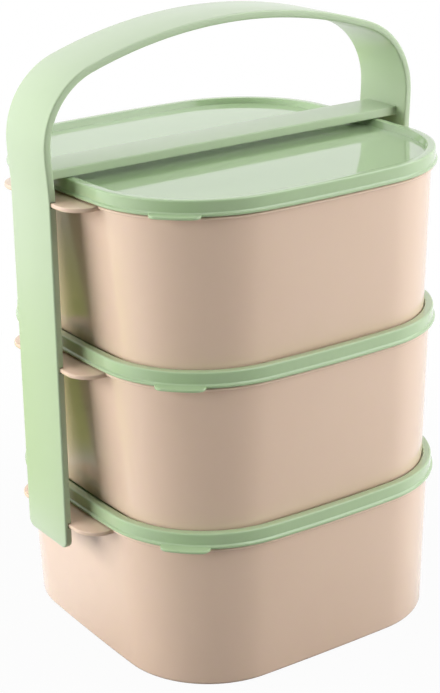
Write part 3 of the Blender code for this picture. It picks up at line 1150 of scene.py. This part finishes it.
@dataclass
class Studio:
    """The pale floor, the white surroundings, the lamps and the camera.

    Attributes:
        light_elsewhere: The room's light, except on the camera's side, which is dark.
        camera_side: Where that side fades out, as cosines of the angle from the camera.
        floor_colour: The floor's own colour.
        floor_whitening: The share of plain white in the floor as the camera sees it.
        floor_fades_from: How far from the middle the floor's shadow begins to fade.
        floor_fades_to: How far out the floor is plain white.
        shade_colour: Colour of a painted shadow of the handle on the floor, shown only in reflections,
            its green tint standing for light through the handle.
        shade_azimuth: The direction of that shadow, in degrees.
        shade_sides: Where it fades in to the side, as cosines of the angle from that direction.
        shade_starts: How far from the middle it starts.
        shade_start_width: How far it takes to reach its full depth there.
        shade_ends: How far out it ends.
        camera_azimuth: The direction that the camera looks from, in degrees.
        camera_elevation: How far above the level that is.
        camera_roll: How far the camera is turned about its axis.
        camera_place: Where it stands.
        focal_pixels: Its focal length in pixels of the photograph.
        centre_pixel: The pixel that its axis goes through.
        lamp_target: What the lamps are aimed at.
    """

    NEAR_AND_FAR = (0.01, 50)  # what the camera sees between
    FLOOR_SIZE = 12
    FLOOR_ROUGHNESS = 0.9

    light_elsewhere: float = 0.09
    camera_side: tuple[float, float] = (0.95, -0.1)
    floor_colour: Colour = (0.35, 0.35, 0.35, 1.0)
    floor_whitening: float = 0.96
    floor_fades_from: float = 0.12
    floor_fades_to: float = 0.4
    shade_colour: Colour = (0.5, 0.7, 0.18, 1.0)
    shade_azimuth: float = -148.0
    shade_sides: tuple[float, float] = (0.5, 0.9)
    shade_starts: float = 0.18
    shade_start_width: float = 0.05
    shade_ends: float = 0.75
    camera_azimuth: float = -32.7
    camera_elevation: float = 18.49
    camera_roll: float = -1.84
    camera_place: tuple[float, float, float] = (-427.23 * MM, -628.14 * MM, 407.45 * MM)
    focal_pixels: float = 1747.9
    centre_pixel: tuple[float, float] = (178.2, 287.5)
    lamp_target: tuple[float, float, float] = (0, 0, 0.14)

    def away_from_camera(self, tree: ShaderTree, direction: Wire) -> Wire:
        """Runs from 0 for a direction on the camera's side to 1 elsewhere."""
        facing = tree.dot(direction, tuple(level_direction(self.camera_azimuth)))
        return facing.smooth(*self.camera_side)

    def surroundings(self) -> None:
        """Sets the world: white to look at, softer as a light, and dark on the camera's side."""
        world = bpy.data.worlds.new("white_studio")
        bpy.context.scene.world = world
        tree = ShaderTree(world)
        aside = self.away_from_camera(tree, tree.output("ShaderNodeTexCoord", "Generated"))
        looked_at = tree.output("ShaderNodeLightPath", "Is Camera Ray")
        mirrored = tree.output("ShaderNodeLightPath", "Is Glossy Ray")
        brightness = mirrored + (1 - mirrored) * self.light_elsewhere
        strength = looked_at + (1 - looked_at) * aside * brightness
        tree.feed(tree.nodes["Background"].inputs["Color"], WHITE)
        tree.feed(tree.nodes["Background"].inputs["Strength"], strength)

    def floor(self) -> None:
        """Lays a wide pale floor that holds the object's shadow, turns plain white further out and
        carries a painted shadow of the handle in reflections.
        """
        deselect_all()
        bpy.ops.mesh.primitive_plane_add(size=self.FLOOR_SIZE, location=(0, 0, 0))
        floor = bpy.context.object
        floor.name = "studio_floor"
        material = bpy.data.materials.new("pale_floor")
        tree = ShaderTree(material)
        tree.feed(tree.shader.inputs["Base Color"], self.floor_colour)
        tree.feed(tree.shader.inputs["Roughness"], self.FLOOR_ROUGHNESS)
        away = tree.node("ShaderNodeVectorMath", {"operation": "LENGTH"}, {0: tree.place}, "Value")
        far = away.smooth(self.floor_fades_from, self.floor_fades_to) * (1 - self.floor_whitening)
        looked_at = tree.output("ShaderNodeLightPath", "Is Camera Ray")
        mirrored = tree.output("ShaderNodeLightPath", "Is Glossy Ray")
        direction = tree.node("ShaderNodeVectorMath", {"operation": "NORMALIZE"}, {0: tree.place})
        # painted shadow: the floor as reflections show it is darkened and tinted green to the left
        # behind the object
        behind = tree.dot(direction, tuple(level_direction(self.shade_azimuth)))
        starts = away.smooth(self.shade_starts, self.shade_starts + self.shade_start_width)
        ends = away.smooth(self.shade_ends, self.shade_ends / 2)
        shade = behind.smooth(*self.shade_sides) * starts * ends
        seen = looked_at + mirrored * self.away_from_camera(tree, direction)
        # the painted shadow's green tint, given to glossy rays only
        tint = tree.mix(shade * mirrored, WHITE, self.shade_colour)
        white = tree.node("ShaderNodeEmission", {}, {"Color": tint, "Strength": seen})
        share = (far + self.floor_whitening) * looked_at + mirrored
        values = {0: share, 1: Wire(tree, tree.shader.outputs[0]), 2: white}
        mixed = tree.node("ShaderNodeMixShader", {}, values)
        tree.feed(tree.nodes["Material Output"].inputs["Surface"], mixed)
        floor.data.materials.append(material)

    def camera(self) -> None:
        """Places the camera as the photograph was taken."""
        roll = math.radians(self.camera_roll)
        back = raised_direction(self.camera_azimuth, self.camera_elevation)
        level = level_direction(self.camera_azimuth + 90)
        upright = back.cross(level)
        right = math.cos(roll) * level + math.sin(roll) * upright
        up = -math.sin(roll) * level + math.cos(roll) * upright
        data = bpy.data.cameras.new("photo_camera")
        data.sensor_fit = "VERTICAL"
        data.lens = self.focal_pixels * data.sensor_height / PHOTO_HEIGHT
        data.shift_x = (PHOTO_WIDTH / 2 - self.centre_pixel[0]) / PHOTO_HEIGHT
        data.shift_y = (self.centre_pixel[1] - PHOTO_HEIGHT / 2) / PHOTO_HEIGHT
        data.clip_start, data.clip_end = self.NEAR_AND_FAR
        item = bpy.data.objects.new("photo_camera", data)
        bpy.context.scene.collection.objects.link(item)
        turned = Matrix((right, up, back)).transposed().to_4x4()
        item.matrix_world = Matrix.Translation(self.camera_place) @ turned
        bpy.context.scene.camera = item

    def build(self) -> None:
        """Sets up the whole studio."""
        self.surroundings()
        self.floor()
        self.camera()
        bpy.context.scene.view_settings.view_transform = "Standard"
        for lamp in (
            SoftBox("left_softbox", -112, 13, size=(1.4, 0.8), power=23.5),
            SoftBox("right_softbox", 48, 12, size=(1.3, 0.8), power=17),
            SoftBox("high_right_softbox", 52, 50, size=(1.7, 1.1), power=8, mirrored=True),
            SoftBox("high_back_softbox", 180, 45, size=(1.2, 0.9), power=7.5),
            SoftBox("top_softbox", -90, 80, size=(0.9, 0.9), power=3.5),
        ):
            lamp.place(Vector(self.lamp_target))


def main() -> None:
    """Builds the pieces from the frame, dresses them and sets up the studio."""
    logging.basicConfig(level=logging.INFO, format="%(name)s: %(message)s")
    tub_low, tub_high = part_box("tub_bottom")
    next_low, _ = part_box("tub_middle")
    lid_low, lid_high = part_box("lid_bottom")
    handle_low, handle_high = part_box("carry_handle")
    pitch = next_low.z - tub_low.z
    edge = Outline(width=lid_high.x - lid_low.x, corner=LID_CORNER, bow=SIDE_BOW)
    base_width = edge.width - 2 * (CREST_INSET + RECESS_SLOPE)
    base_diagonal = edge.inset(CREST_INSET).diagonal - BASE_CORNER_GAP
    base = Outline.reaching(base_width, BASE_BOW, base_diagonal)
    tub = Tub(edge=edge, base=base, ear_tip=tub_high.x)
    handle = Handle(
        half_span=tub_high.x + Handle.slot_gap + Handle.slot_web,
        arm_end=handle_low.z,
        top_slot=(len(TIERS) - 1) * pitch + tub.collar_top,
        bar_bottom=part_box("lid_top")[1].z + FIT_GAP,
        crown=handle_high.z,
        pitch=pitch,
    )
    beige = MouldedPlastic(
        name="beige_moulded_plastic",
        colour=(0.745, 0.565, 0.438, 1),
        streak_colour=(0.72, 0.54, 0.415, 1),
        roughness=0.12,
        roughness_spread=0.06,
        coat=0.25,
        grain_depth=0.002 * MM,
    ).make()
    green = MouldedPlastic(
        name="pale_green_moulded_plastic",
        colour=(0.405, 0.54, 0.325, 1),
        streak_colour=(0.385, 0.52, 0.305, 1),
        roughness=0.06,
        roughness_spread=0.03,
        coat=0.6,
    ).make()
    satin = MouldedPlastic(
        name="satin_green_plastic",
        colour=(0.445, 0.55, 0.37, 1),
        streak_colour=(0.43, 0.535, 0.355, 1),
        roughness=0.3,
        roughness_spread=0.06,
        coat=0.42,
    ).make()
    first_tub = tub.build()
    first_lid = Lid(outline=edge, recess=base).build()
    for index, tier in enumerate(TIERS):
        level = index * pitch
        piece = set_down(copy_of(first_tub), "moulded_tub_" + tier, level)
        dress(piece, beige, Body.STACK, "tub_" + tier)
        piece = set_down(copy_of(first_lid), "moulded_lid_" + tier, level + lid_low.z)
        dress(piece, green, Body.STACK, "lid_" + tier)
    bpy.data.objects.remove(first_tub)
    bpy.data.objects.remove(first_lid)
    piece = set_down(handle.build(), "moulded_handle", 0)
    dress(piece, satin, Body.HANDLE, "carry_handle")
    Studio().build()


if __name__ == "__main__":
    main()
